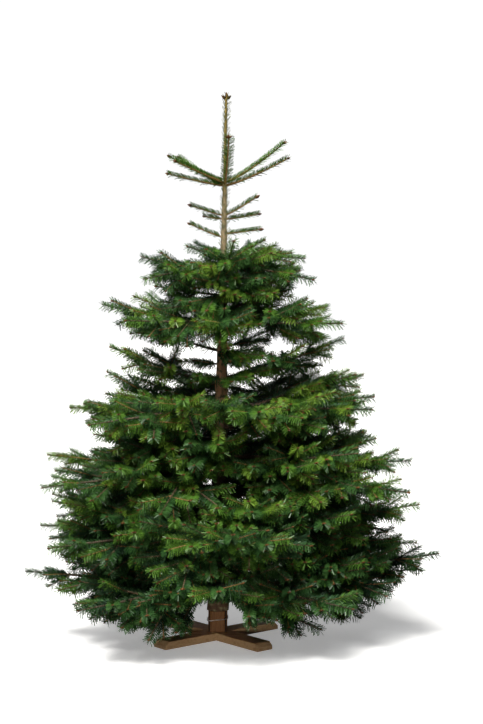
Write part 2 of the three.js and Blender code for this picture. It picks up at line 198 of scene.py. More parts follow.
def boughLine(tier, index):
    azimuth, reach, tipHeight = tier.boughs[index]
    dice = seededRandom(round(tier.height * 1000) * 64 + index)
    out = compass(azimuth)
    side = np.array([-out[1], out[0], 0])
    start = trunkCentre(tier.height + (tier.stagger if index % 2 else -tier.stagger))
    bow = growth.swing * reach * (2 * dice() - 1)

    def at(t):
        point = start + out * reach * t + side * bow * math.sin(math.pi * t)
        point[2] = start[2] + (tipHeight - start[2]) * t ** growth.curl
        return point

    return at


def straightLine(base, along, length, bend):
    # nearly straight: it sags a little first and rises to its tip, or the other way round
    return lambda t: base + along * length * t + up * bend * length * (t * t - growth.sag * t)


def measure(at, steps=24):
    # the line's length, and the share of it that lies a distance back from its tip
    points = np.array([at(1 - i / steps) for i in range(steps + 1)])
    back = np.concatenate([[0], np.cumsum(np.linalg.norm(np.diff(points, axis=0), axis=1))])
    return back[-1], lambda distance: float(np.interp(distance, back, np.linspace(1, 0, steps + 1)))


def axesAt(shoot, t, reach=0.02):
    # the way ahead along a shoot, and the way up square to it
    at = shoot["at"]
    ahead = unit(at(min(1, t + reach)) - at(max(0, t - reach)))
    return ahead, unit(up - ahead * ahead[2])


def sideShoot(base, along, length, roll, seed, order):
    bend = growth.bend * (seededRandom(seed + diceFor.bend)() - growth.droop)
    at = straightLine(base, along, length, bend)
    return {"at": at, "length": length, "shareBack": lambda back: max(0, 1 - back / length),
            "roll": roll, "seed": seed, "order": order}


def forkShoots(shoot, bareShare):
    # a pair of side shoots at each year's fork, counted back from the tip
    dice = seededRandom(shoot["seed"])
    back, fork = 0, 0
    while True:
        fork += 1
        back += growth.yearShoot * about(dice, growth.yearSpread)
        if back > shoot["length"]:
            return
        t = shoot["shareBack"](back)
        ahead, level = axesAt(shoot, t)
        for hand in (1, -1):
            angle = math.radians(growth.forkAngle + growth.forkSpread * (2 * dice() - 1))
            rise = (hand if fork % 2 else -hand) * among(dice, *growth.forkRise)
            tilt = math.radians(growth.tilt * (rise + growth.lift))
            length = back * growth.sideShare * about(dice, growth.sideSpread)
            along = unit(turned(ahead, level, hand * angle) + level * math.tan(tilt))
            roll = math.radians(growth.roll * (2 * dice() - 1))
            if t <= bareShare or length <= growth.shortest:
                continue
            base = shoot["at"](shoot["shareBack"](back - (growth.offset if hand > 0 else 0)))
            seed = shoot["seed"] * 8 + fork * 2 + (1 if hand > 0 else 0)
            yield sideShoot(base, along, length, roll, seed, shoot["order"] + 1)


def underShoots(shoot, bareShare):
    # a shoot below each year's fork
    dice = seededRandom(shoot["seed"] + diceFor.under)
    back, count = 0, 0
    while True:
        count += 1
        back += growth.yearShoot * about(dice, growth.yearSpread)
        t = shoot["shareBack"](back)
        if back > shoot["length"] or t <= bareShare:
            return
        ahead, level = axesAt(shoot, t)
        drop = math.radians(among(dice, *growth.underAngle))
        sway = math.radians(growth.underSway * (dice() - 0.5))
        along = unit(turned(ahead, level, sway) * math.cos(drop) - level * math.sin(drop))
        length = back * growth.underShare * about(dice, growth.sideSpread)
        if length > growth.shortest:
            seed = shoot["seed"] * 16 + count + 500
            yield sideShoot(shoot["at"](t), along, length, 0, seed, shoot["order"] + 2)


def shortShoots(shoot, bareShare):
    # short shoots stand between the forks, on wood of the second year and older, and bear none themselves
    dice = seededRandom(shoot["seed"] + diceFor.short)
    back, count = growth.yearShoot * growth.fillStart, 0
    while back < shoot["length"] * (1 - bareShare):
        t = shoot["shareBack"](back)
        ahead, level = axesAt(shoot, t)
        turn = math.radians(among(dice, *growth.fillAngle)) * (1 if count % 2 else -1)
        along = unit(turned(ahead, level, turn) + level * among(dice, *growth.fillRise))
        length = among(dice, *growth.fillLength)
        yield sideShoot(shoot["at"](t), along, length, 0, shoot["seed"] * 32 + count, growth.orders)
        back += growth.fillGap * among(dice, *growth.fillSpread)
        count += 1


def inTheWay(shoot):
    # no shoot lies on the floor, and in front of the foot all stop above a line that rises outwards
    x, y, z = shoot["at"](1)
    hidesFoot = y < 0 and abs(x) < growth.clearSide and z < growth.clearHeight - growth.clearRise * y
    return z < growth.lowest - growth.frontRise * min(y, 0) or hidesFoot


def growFrom(shoot, bareShare, found):
    found.append(shoot)
    if shoot["order"] >= growth.orders:
        return
    for rule in (forkShoots, underShoots, shortShoots):
        for side in rule(shoot, bareShare):
            if not inTheWay(side):
                growFrom(side, growth.bareShare, found)


# thin shoots that grow on the trunk between its whorls
between = Values(
    start=0.290, end=1.395, bare=(0.830, 1.130), step=0.0095, stepSpread=(0.7, 1.3),
    turn=137.5, reach=0.42, share=(0.5, 0.95), rise=(-0.2, 0.5), bareShare=0.3,
    order=2, seed=4711,
)


def betweenShoots(found):
    dice = seededRandom(between.seed)
    z, azimuth = between.start, 0
    while z < between.end:
        z += between.step * among(dice, *between.stepSpread)
        azimuth += between.turn
        length = between.reach * (topZ - z) * among(dice, *between.share)
        along = unit(compass(azimuth) + up * among(dice, *between.rise))
        if between.bare[0] < z < between.bare[1]:
            continue
        shoot = sideShoot(trunkCentre(z), along, length, 0, round(z * 10000), between.order)
        if not inTheWay(shoot):
            growFrom(shoot, between.bareShare, found)


def growTree():
    boughs, sides = [], []
    for tier in (tiers | thinWhorls).values():
        for index in range(len(tier.boughs)):
            at = boughLine(tier, index)
            length, shareBack = measure(at)
            bough = {"at": at, "length": length, "shareBack": shareBack, "roll": 0, "order": 0,
                     "seed": round(tier.height * 1000) * 16 + index, "tier": tier}
            boughs.append(bough)
            if not tier.oneYear:
                found = []
                growFrom(bough, growth.bareShare, found)
                sides.extend(found[1:])
    betweenShoots(sides)
    return boughs, sides


boughs, sideShoots = growTree()
grownLength = sum(shoot["length"] for shoot in boughs + sideShoots)
print("grown", len(boughs), "boughs and", len(sideShoots), "side shoots,", round(grownLength, 1), "m in all")


def addNode(tree, kind, inputs={}, **settings):
    made = tree.nodes.new(kind)
    for name, value in settings.items():
        setattr(made, name, value)
    for name, value in inputs.items():
        if isinstance(value, bpy.types.NodeSocket):
            tree.links.new(value, made.inputs[name])
        else:
            made.inputs[name].default_value = value
    return made


def nodeOut(tree, kind, inputs={}, **settings):
    # a new node's first output
    return addNode(tree, kind, inputs, **settings).outputs[0]


def calc(tree, operation, *values):
    return nodeOut(tree, "ShaderNodeMath", dict(enumerate(values)), operation=operation)


def vectors(tree, operation, *values):
    return nodeOut(tree, "ShaderNodeVectorMath", dict(enumerate(values)), operation=operation)


def scaled(tree, vector, factor):
    return nodeOut(tree, "ShaderNodeVectorMath", {0: vector, "Scale": factor}, operation="SCALE")


def noiseOf(tree, vector, scale, detail, roughness=0.5):
    return nodeOut(tree, "ShaderNodeTexNoise",
                   {"Vector": vector, "Scale": scale, "Detail": detail, "Roughness": roughness})


def newTree(name, kind, sockets, results):
    tree = bpy.data.node_groups.new(name, kind)
    for label, socket, value in sockets:
        made = tree.interface.new_socket(name=label, in_out="INPUT", socket_type="NodeSocket" + socket)
        if value is not None:
            made.default_value = value
    for label, socket in results:
        tree.interface.new_socket(name=label, in_out="OUTPUT", socket_type="NodeSocket" + socket)
    return tree, tree.nodes.new("NodeGroupInput").outputs, tree.nodes.new("NodeGroupOutput").inputs


def newShaper(name, sockets):
    # a tree that makes one shape from another
    return newTree(name, "GeometryNodeTree", [("Geometry", "Geometry", None)] + sockets,
                   [("Geometry", "Geometry")])


def newMaterial(name, roughness, specular):
    material = bpy.data.materials.new(name)
    material.use_nodes = True
    surface = material.node_tree.nodes["Principled BSDF"]
    surface.inputs["Roughness"].default_value = roughness
    surface.inputs["Specular IOR Level"].default_value = specular
    return material, material.node_tree, surface


def colour(red, green, blue):
    return (red, green, blue, 1)


def grey(tone):
    return colour(tone, tone, tone)


def grainGroup():
    # long soft streaks with fine fibres in them, along the Z of the vector that is given
    group, given, result = newTree(
        "grain", "ShaderNodeTree",
        [("Vector", "Vector", None), ("Across", "Float", 90), ("Along", "Float", 5)],
        [("Streak", "Float"), ("Fibre", "Float")])
    across, along = given["Across"], given["Along"]
    scale = nodeOut(group, "ShaderNodeCombineXYZ", {"X": across, "Y": across, "Z": along})
    stretched = vectors(group, "MULTIPLY", given["Vector"], scale)
    group.links.new(noiseOf(group, stretched, 1.0, 4.0, 0.55), result["Streak"])
    group.links.new(noiseOf(group, stretched, 7.0, 2.0, 0.6), result["Fibre"])
    return group


grain = grainGroup()


def objectPlace(tree):
    return tree.nodes.new("ShaderNodeTexCoord").outputs["Object"]


def coat(tree, surface, tone):
    tree.links.new(tone, surface.inputs["Base Color"])


def ramp(tree, fac, stops):
    made = addNode(tree, "ShaderNodeValToRGB", {"Fac": fac})
    band = made.color_ramp
    band.elements[0].position, band.elements[0].color = stops[0][0], colour(*stops[0][1])
    band.elements[1].position, band.elements[1].color = stops[-1][0], colour(*stops[-1][1])
    for place, tone in stops[1:-1]:
        band.elements.new(place).color = colour(*tone)
    return made.outputs["Color"]


def mixColour(tree, fac, first, second, blend="MIX"):
    made = addNode(tree, "ShaderNodeMix", {0: fac, 6: first, 7: second}, data_type="RGBA", blend_type=blend)
    return made.outputs[2]


def bumped(tree, surface, height, distance):
    bump = addNode(tree, "ShaderNodeBump", {"Height": height, "Distance": distance, "Strength": 0.6})
    tree.links.new(bump.outputs["Normal"], surface.inputs["Normal"])


def grainOf(tree, vector, across, along):
    made = addNode(tree, "ShaderNodeGroup",
                   {"Vector": vector, "Across": across, "Along": along}, node_tree=grain)
    return made.outputs


# tones up the trunk, each at its share of the height; the bright pair at .46 and .53 is painted light on the
# bare stretch
trunkTones = [
    (0, (.070, .040, .022)), (.35, (.17, .115, .078)), (.46, (.85, .47, .27)), (.53, (.85, .47, .27)),
    (.62, (.36, .26, .17)), (.80, (.40, .305, .165)), (.86, (.50, .36, .09)), (1, (.50, .34, .09)),
]


def trunkBark():
    # dark and fissured low down, red-brown in the bare stretch with painted light there, as the tier above
    # shades it; smooth and tan above, olive on the leader
    material, tree, surface = newMaterial("trunk_bark", 0.85, 0.25)
    place = objectPlace(tree)
    height = addNode(tree, "ShaderNodeSeparateXYZ", {0: place}).outputs["Z"]
    share = nodeOut(tree, "ShaderNodeMapRange", {0: height, 1: footZ, 2: topZ})
    # the ramp paints light onto the bare stretch, where the tier above casts shade
    base = ramp(tree, share, trunkTones)
    lines = grainOf(tree, place, 120, 22)
    streaks = mixColour(tree, lines["Streak"], colour(.35, .33, .32), grey(1.45))
    streaked = mixColour(tree, 1.0, base, streaks, "MULTIPLY")
    patches = noiseOf(tree, place, 55.0, 3.0)
    spots = nodeOut(tree, "ShaderNodeMapRange", {0: patches, 1: .50, 2: .64})
    coat(tree, surface, mixColour(tree, spots, streaked, colour(.17, .15, .085)))
    bumped(tree, surface, lines["Fibre"], 0.0012)
    return material


def twigBark(name, dull, bright, roughness):
    material, tree, surface = newMaterial(name, roughness, 0.3)
    spots = noiseOf(tree, objectPlace(tree), 180.0, 2.0)
    coat(tree, surface, ramp(tree, spots, [(.35, dull), (.65, bright)]))
    bumped(tree, surface, spots, 0.0006)
    return material


def needleMaterial(name, upper, lower, roughness):
    # each needle is one thin sheet, glossy above, with two pale bands below that read as one paler tone
    material, tree, surface = newMaterial(name, roughness, 0.34)
    backside = tree.nodes.new("ShaderNodeNewGeometry").outputs["Backfacing"]
    coat(tree, surface, mixColour(tree, backside, colour(*upper), colour(*lower)))
    return material


def sawnWood(name, pale, dark, turn):
    # the turn lays the board's length along the grain
    material, tree, surface = newMaterial(name, 0.75, 0.3)
    lengthways = nodeOut(tree, "ShaderNodeMapping", {"Vector": objectPlace(tree), "Rotation": turn})
    lines = grainOf(tree, lengthways, 70, 5)
    base = ramp(tree, lines["Streak"], [(.30, dark), (.52, pale), (.74, dark)])
    fine = mixColour(tree, lines["Fibre"], colour(.72, .70, .68), grey(1.15))
    coat(tree, surface, mixColour(tree, 1.0, base, fine, "MULTIPLY"))
    bumped(tree, surface, lines["Fibre"], 0.0005)
    return material


def planedFootWood():
    # bare wood with upright grain, and dark bark where the flats leave the round corners
    material, tree, surface = newMaterial("planed_foot", 0.7, 0.3)
    place = objectPlace(tree)
    lines = grainOf(tree, place, 260, 14)
    dark, pale, middling = (.050, .020, .007), (.175, .078, .026), (.085, .036, .012)
    wood = ramp(tree, lines["Streak"], [(.28, dark), (.5, pale), (.72, middling)])
    sides = vectors(tree, "ABSOLUTE", place)
    apart = addNode(tree, "ShaderNodeSeparateXYZ", {0: sides}).outputs
    corner = calc(tree, "MINIMUM", apart["X"], apart["Y"])
    edge = nodeOut(tree, "ShaderNodeMapRange", {0: corner, 1: .0262, 2: .0285})
    coat(tree, surface, mixColour(tree, edge, wood, colour(.022, .013, .008)))
    bumped(tree, surface, lines["Fibre"], 0.0006)
    return material


def metalWire():
    material, tree, surface = newMaterial("tie_wire_metal", 0.42, 0.5)
    surface.inputs["Metallic"].default_value = 0.85
    spots = noiseOf(tree, objectPlace(tree), 300.0, 2.0)
    coat(tree, surface, ramp(tree, spots, [(.3, (.42, .38, .39)), (.7, (.74, .69, .70))]))
    return material


def budScales():
    material, tree, surface = newMaterial("bud_scales", 0.55, 0.4)
    spots = noiseOf(tree, objectPlace(tree), 60.0, 1.0)
    coat(tree, surface, ramp(tree, spots, [(.35, (.085, .036, .012)), (.65, (.180, .078, .022))]))
    return material


needleTints = {  # upper side, underside, roughness; dealt out by shoot and by its age
    "bright": ((.138, .250, .026), (.128, .218, .052), .40),
    "fresh": ((.080, .188, .022), (.088, .178, .055), .38),
    "cool": ((.046, .122, .027), (.060, .132, .064), .36),
    # middle and deep, on older wood inside the crown, are partly the older needles' own darker green and
    # partly painted shade for the crown's inside
    "middle": ((.025, .080, .018), (.042, .096, .046), .40),
    "deep": ((.009, .034, .012), (.021, .050, .032), .48),
    "crown": ((.070, .165, .014), (.100, .195, .035), .45),
    "leader": ((.160, .185, .045), (.220, .240, .095), .45),
}
needleMaterials = {name: needleMaterial("needle_" + name, *tones) for name, tones in needleTints.items()}
print("materials made")


def dieRoll(tree, seed, offset, spread, least):
    # chance from least to least + spread, anew for every needle or bud
    made = addNode(tree, "FunctionNodeRandomValue", {"Seed": calc(tree, "ADD", seed, offset)})
    return calc(tree, "MULTIPLY_ADD", made.outputs[1], spread, least)


def upFrom(tree, tangent, normal):
    # the third axis of a line's own frame, turned to point upwards
    third = vectors(tree, "CROSS_PRODUCT", normal, tangent)
    height = addNode(tree, "ShaderNodeSeparateXYZ", {0: third}).outputs["Z"]
    return scaled(tree, third, calc(tree, "SIGN", calc(tree, "ADD", height, 1e-5)))


def dress(tree, shape, material, out):
    # real copies in their material, as what the tree gives back
    real = nodeOut(tree, "GeometryNodeRealizeInstances", {"Geometry": shape})
    dressed = nodeOut(tree, "GeometryNodeSetMaterial", {"Geometry": real, "Material": material})
    tree.links.new(dressed, out["Geometry"])


# how needles stand on a shoot: share is 0 for those at its sides and 1 for those on its crest
needleHabit = Values(
    turn=.6180339,  # of a whole turn, from one needle to the next
    nearTip=33, tipSweep=4, tipSize=-.10,  # what the last 1/33 metre adds to sweep and size
    sideSweep=12, crestSweep=-24, jitter=8,  # degrees, added to the sweep
    faceUp=1.1, twist=2.2,
    sideSize=1.04, crestSize=-.22, sizeSpread=.16, leastSize=.92,
)


def needleTree():
    # one needle for each step along a line, to either side by turns, swept forward and fanned upwards
    tree, given, out = newShaper("needles_on_lines", [
        ("Needle", "Object", None), ("Spacing", "Float", .001), ("Sweep", "Float", 52),
        ("Lowest", "Float", -70), ("Highest", "Float", 66), ("Crowd", "Float", 1.0),
        ("Size", "Float", 1), ("Seed", "Int", 0), ("Material", "Material", None)])
    done = tree.nodes.new("GeometryNodeSplineParameter").outputs["Length"]
    whole = tree.nodes.new("GeometryNodeSplineLength").outputs["Length"]
    kept = tree.nodes.new("GeometryNodeCaptureAttribute")
    kept.capture_items.new("FLOAT", "back")
    tree.links.new(given["Geometry"], kept.inputs[0])
    tree.links.new(calc(tree, "SUBTRACT", whole, done), kept.inputs[1])
    points = addNode(tree, "GeometryNodeCurveToPoints",
                     {"Curve": kept.outputs[0], "Length": given["Spacing"]}, mode="LENGTH")
    tangent, normal = points.outputs["Tangent"], points.outputs["Normal"]
    crest = upFrom(tree, tangent, normal)
    seed = given["Seed"]
    # needles stand on a spiral: every next one is a golden turn further round
    index = calc(tree, "ADD", nodeOut(tree, "GeometryNodeInputIndex"), seed)
    spiral = calc(tree, "FRACT", calc(tree, "MULTIPLY", index, needleHabit.turn))
    hand = calc(tree, "SIGN", calc(tree, "SUBTRACT", spiral, .5))
    share = calc(tree, "ABSOLUTE", calc(tree, "MULTIPLY_ADD", spiral, 2, -1))
    share = calc(tree, "POWER", calc(tree, "SUBTRACT", 1, share), given["Crowd"])
    span = calc(tree, "SUBTRACT", given["Highest"], given["Lowest"])
    around = calc(tree, "RADIANS", calc(tree, "MULTIPLY_ADD", share, span, given["Lowest"]))
    outward = vectors(tree, "ADD",
                      scaled(tree, normal, calc(tree, "MULTIPLY", hand, calc(tree, "COSINE", around))),
                      scaled(tree, crest, calc(tree, "SINE", around)))
    fromTip = calc(tree, "MINIMUM", 1, calc(tree, "MULTIPLY", kept.outputs[1], needleHabit.nearTip))
    nearTip = calc(tree, "SUBTRACT", 1, fromTip)
    jitter = dieRoll(tree, seed, 23, needleHabit.jitter, -needleHabit.jitter / 2)
    sideSweep = calc(tree, "ADD", given["Sweep"], needleHabit.sideSweep)
    swept = calc(tree, "MULTIPLY_ADD", share, needleHabit.crestSweep, sideSweep)
    swept = calc(tree, "MULTIPLY_ADD", nearTip, needleHabit.tipSweep, swept)
    sweep = calc(tree, "RADIANS", calc(tree, "ADD", swept, jitter))
    direction = vectors(tree, "ADD", scaled(tree, tangent, calc(tree, "COSINE", sweep)),
                        scaled(tree, outward, calc(tree, "SINE", sweep)))
    face = vectors(tree, "ADD", scaled(tree, crest, calc(tree, "SUBTRACT", needleHabit.faceUp, share)),
                   scaled(tree, tangent, share))
    twist = dieRoll(tree, seed, 51, needleHabit.twist, -needleHabit.twist / 2)
    face = vectors(tree, "ADD", face, scaled(tree, vectors(tree, "CROSS_PRODUCT", direction, face), twist))
    turn = nodeOut(tree, "FunctionNodeAxesToRotation",
                   {"Primary Axis": direction, "Secondary Axis": face}, primary_axis="Y", secondary_axis="Z")
    size = calc(tree, "MULTIPLY_ADD", share, needleHabit.crestSize, needleHabit.sideSize)
    size = calc(tree, "MULTIPLY", size, given["Size"])
    chance = dieRoll(tree, seed, 37, needleHabit.sizeSpread, needleHabit.leastSize)
    size = calc(tree, "MULTIPLY", size, chance)
    size = calc(tree, "MULTIPLY", size, calc(tree, "MULTIPLY_ADD", nearTip, needleHabit.tipSize, 1))
    needle = addNode(tree, "GeometryNodeObjectInfo", {"Object": given["Needle"]})
    copies = nodeOut(tree, "GeometryNodeInstanceOnPoints",
                     {"Points": points.outputs["Points"], "Instance": needle.outputs["Geometry"],
                      "Rotation": turn, "Scale": size})
    dress(tree, copies, given["Material"], out)
    return tree


def woodTree():
    # a round limb along each line, as thick as the line says, with a knobbly skin
    tree, given, out = newShaper("wood_on_lines", [
        ("Sides", "Int", 5), ("Relief", "Float", .0004), ("Knobs", "Float", 90),
        ("Material", "Material", None)])
    ring = nodeOut(tree, "GeometryNodeCurvePrimitiveCircle",
                   {"Resolution": given["Sides"], "Radius": 1}, mode="RADIUS")
    thick = nodeOut(tree, "GeometryNodeInputRadius")
    limb = nodeOut(tree, "GeometryNodeCurveToMesh",
                   {"Curve": given["Geometry"], "Profile Curve": ring, "Scale": thick,
                    "Fill Caps": True})
    place = nodeOut(tree, "GeometryNodeInputPosition")
    bumps = noiseOf(tree, place, given["Knobs"], 2.0)
    push = calc(tree, "MULTIPLY", calc(tree, "SUBTRACT", bumps, .5), given["Relief"])
    outwards = nodeOut(tree, "GeometryNodeInputNormal")
    moved = nodeOut(tree, "GeometryNodeSetPosition",
                    {"Geometry": limb, "Offset": scaled(tree, outwards, push)})
    smooth = nodeOut(tree, "GeometryNodeSetShadeSmooth", {"Geometry": moved})
    dress(tree, smooth, given["Material"], out)
    return tree


def budTree():
    # a cluster of buds on the far end of each line
    tree, given, out = newShaper("buds_on_tips", [
        ("Bud", "Object", None), ("Size", "Float", 1), ("Seed", "Int", 0), ("Material", "Material", None)])
    tip = nodeOut(tree, "GeometryNodeCurveEndpointSelection", {"Start Size": 0, "End Size": 1})
    tangent = nodeOut(tree, "GeometryNodeInputTangent")
    normal = nodeOut(tree, "GeometryNodeInputNormal")
    turn = nodeOut(tree, "FunctionNodeAxesToRotation",
                   {"Primary Axis": tangent, "Secondary Axis": normal}, primary_axis="Z", secondary_axis="X")
    bud = addNode(tree, "GeometryNodeObjectInfo", {"Object": given["Bud"]})
    size = calc(tree, "MULTIPLY", given["Size"], dieRoll(tree, given["Seed"], 3, .5, .75))
    copies = nodeOut(tree, "GeometryNodeInstanceOnPoints",
                     {"Points": given["Geometry"], "Selection": tip,
                      "Instance": bud.outputs["Geometry"], "Rotation": turn, "Scale": size})
    dress(tree, copies, given["Material"], out)
    return tree


def linesOf(name, lines):
    # lines are (points, radii, roll)
    data = bpy.data.curves.new(name, "CURVE")
    data.dimensions = "3D"
    data.twist_mode = "Z_UP"
    for points, radii, roll in lines:
        spline = data.splines.new("POLY")
        spline.points.add(len(points) - 1)
        spline.points.foreach_set("co", np.c_[points, np.ones(len(points))].ravel())
        spline.points.foreach_set("radius", np.asarray(radii, float))
        spline.points.foreach_set("tilt", np.full(len(points), roll))
    return data


def meshFrom(name, lines, tree, values):
    # lines dressed by a tree, as one plain mesh
    source = link(bpy.data.objects.new(name + "_lines", linesOf(name + "_lines", lines)))
    modifier = source.modifiers.new("dress", "NODES")
    modifier.node_group = tree
    for socket in tree.interface.items_tree:
        if socket.in_out == "INPUT" and socket.name in values:
            modifier[socket.identifier] = values[socket.name]
    bpy.context.view_layer.update()
    evaluated = source.evaluated_get(bpy.context.evaluated_depsgraph_get())
    mesh = bpy.data.meshes.new_from_object(evaluated)
    mesh.name = name
    bpy.data.objects.remove(source)
    print(name, len(lines), "lines,", sum(len(p.vertices) - 2 for p in mesh.polygons), "triangles")
    return link(bpy.data.objects.new(name, mesh))


def meshObject(name, points, faces, material=None):
    mesh = bpy.data.meshes.new(name)
    mesh.from_pydata([tuple(p) for p in points], [], faces)
    mesh.update()
    if material:
        mesh.materials.append(material)
    return link(bpy.data.objects.new(name, mesh))


def standsFor(piece, slotName, *replaced):
    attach(piece, "root")
    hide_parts(*replaced)


needle = Values(
    length=.0310, width=.0036, footWidth=.7, tipWidth=.8,
    spacing=[.00088, .00118, .0024, .0044],  # by the age of the wood, in years
    youngSize=1.0, oldSize=.92, oldest=3, bareEnd=.004, leastRun=.004,
    limit=95000,  # needles in one piece
)
# on the top's lone shoots, and up the leader
crownNeedles = {"Size": .88, "Sweep": 50.0, "Lowest": -30.0, "Highest": 85.0, "Spacing": .00085}
leaderNeedles = {"Size": .74, "Sweep": 42.0, "Lowest": -90.0, "Highest": 90.0, "Spacing": .0056, "Seed": 5}


def needlePattern():
    foot = needle.width / 2 * needle.footWidth
    tip = needle.width / 2 * needle.tipWidth
    length = needle.length
    return meshObject("needle_pattern", [(foot, 0, 0), (tip, length, 0), (-tip, length, 0), (-foot, 0, 0)],
                      [(0, 1, 2, 3)])


budShape = Values(
    sides=3, rings=((0, .6), (.45, 1)),  # share of the length, share of the radius
    # lean, turn, length and radius of each
    cluster=((0, 0, .0125, .0040), (56, 8, .0110, .0036), (56, 188, .0110, .0036)),
)


def budPattern():
    # one bud ahead and two at its sides, each a small spindle
    points, faces = [], []
    sides = budShape.sides
    for lean, turn, length, radius in budShape.cluster:
        tilted = Matrix.Rotation(math.radians(turn), 3, "Z") @ Matrix.Rotation(math.radians(lean), 3, "Y")
        first = len(points)
        for share, width in budShape.rings:
            for k in range(sides):
                angle = 2 * math.pi / sides * k
                x, y = math.cos(angle) * radius * width, math.sin(angle) * radius * width
                points.append(tilted @ Vector((x, y, length * share)))
        points.append(tilted @ Vector((0, 0, length)))
        for k in range(sides):
            n = (k + 1) % sides
            faces.append((first + k, first + n, first + sides + n, first + sides + k))
            faces.append((first + sides + k, first + sides + n, first + 2 * sides))
    return meshObject("bud_pattern", points, faces)


# how thick a shoot is at its tip and further back, how far apart the points on its line are, and up to
# how many years' growth it counts as young
twig = Values(tip=.0021, grow=.018, power=1.25, step=.040, young=1.1)


def twigRadius(back):
    return twig.tip + twig.grow * back ** twig.power


def pointsAlong(shoot, fromBack, toBack):
    # points from one distance behind the tip to a nearer one
    count = max(1, math.ceil((fromBack - toBack) / twig.step))
    backs = np.linspace(fromBack, toBack, count + 1)
    return backs, np.array([shoot["at"](min(1, shoot["shareBack"](back))) for back in backs])


# the tones of young shoots by chance, and how far chance shifts to the darker ones lower down, as painted
# shade
tintRule = Values(
    steps=("bright", "fresh", "cool", "middle", "deep"), limits=(.24, .68, 1.05),
    shift=.5, shiftFrom=.62, shiftOver=.35,
)


def tintOf(shoot, age, outer):
    # the outer half of a young shoot is a step brighter than its inner half: painted light on the outer tips
    # and painted shade on the inner half
    if age > 0:
        return "middle" if age == 1 else "deep"
    # painted shade: the lower the shoot's tip, the more its tint is shifted darker, as less light reaches
    # low down
    low = min(1, max(0, (tintRule.shiftFrom - shoot["at"](1)[2]) / tintRule.shiftOver))
    luck = seededRandom(shoot["seed"] + diceFor.tint)() + tintRule.shift * low
    step = sum(luck >= limit for limit in tintRule.limits)
    return tintRule.steps[step if outer else step + 1]


def needleStretches(shoot):
    # a shoot's needles in stretches of half a year's growth, with their tint and the age of the wood
    isBough = "tier" in shoot
    lone = isBough and shoot["tier"].oneYear
    inner = shoot["length"] - (trunkRadius(shoot["tier"].height) if isBough else needle.bareEnd)
    half, near = 0, 0.0
    while near < inner:
        far = min(inner, near + (shoot["length"] if lone else growth.yearShoot / 2))
        age = half // 2
        if far - near > needle.leastRun and not (isBough and age > needle.oldest):
            points = pointsAlong(shoot, far, near)[1]
            # on young shoots the outermost half gets the painted-light tint, the inner half the
            # painted-shade one
            name = "crown" if lone else tintOf(shoot, age, half == 0)
            yield name, min(age, needle.oldest), (points, np.ones(len(points)), shoot["roll"])
        half, near = half + 1, far


def woodOf(shoot):
    if "tier" in shoot:
        return "crown" if shoot["tier"].oneYear else "bough"
    return "old" if shoot["length"] > growth.yearShoot * twig.young else "young"


def sortLines():
    # needle lines by tint and age, wood by its kind, and the tips that bear buds
    needleLines = {}
    woodLines = {"young": [], "old": [], "crown": [], "bough": []}
    tipLines = {"shoot": [], "crown": []}
    for shoot in boughs + sideShoots:
        for name, age, line in needleStretches(shoot):
            needleLines.setdefault((name, age), []).append(line)
        backs, points = pointsAlong(shoot, shoot["length"], 0)
        kind = woodOf(shoot)
        woodLines[kind].append((points, twigRadius(backs), 0))
        tipLines["crown" if kind == "crown" else "shoot"].append(woodLines[kind][-1])
    return needleLines, woodLines, tipLines


needleLines, woodLines, tipLines = sortLines()
needles, wood, buds = needleTree(), woodTree(), budTree()
needlePiece, budPiece = needlePattern(), budPattern()


def batchesOf(lines, spacing):
    # lines in batches that each stay within the limit of needles
    batches, held = [[]], 0
    for line in lines:
        count = float(np.linalg.norm(np.diff(line[0], axis=0), axis=1).sum()) / spacing
        if held + count > needle.limit:
            batches.append([])
            held = 0
        batches[-1].append(line)
        held += count
    return batches


def growNeedles():
    made = 0
    for (name, age), lines in sorted(needleLines.items()):
        spacing = needle.spacing[age]
        values = {"Needle": needlePiece, "Material": needleMaterials[name], "Spacing": spacing,
                  "Size": needle.oldSize if age else needle.youngSize}
        if name == "crown":
            values.update(crownNeedles)
        for index, batch in enumerate(batchesOf(lines, spacing)):
            values["Seed"] = 100 * made + 7
            piece = meshFrom(f"needles_{name}_{age + 1}_{index + 1}", batch, needles, values)
            standsFor(piece, "needles", *foliageNodes)
            made += 1


def leaderLines():
    # lines up the bark of the leader, for its own short needles
    leader = Values(start=1.42, top=topZ - .015, count=7, twist=2.4, steps=60, sunk=.9)
    lines = []
    for k in range(leader.count):
        points = []
        for z in np.linspace(leader.start, leader.top, leader.steps):
            angle = 2 * math.pi * k / leader.count + leader.twist * z
            out = np.array([math.cos(angle), math.sin(angle), 0])
            points.append(trunkCentre(z) + trunkRadius(z) * leader.sunk * out)
        lines.append((np.array(points), np.ones(leader.steps), 0))
    return lines


growNeedles()
leaderPiece = meshFrom("needles_leader", leaderLines(), needles, {
    "Needle": needlePiece, "Material": needleMaterials["leader"], "Crowd": 1.0, **leaderNeedles})
standsFor(leaderPiece, "needles", "trunk")
print("needles made")

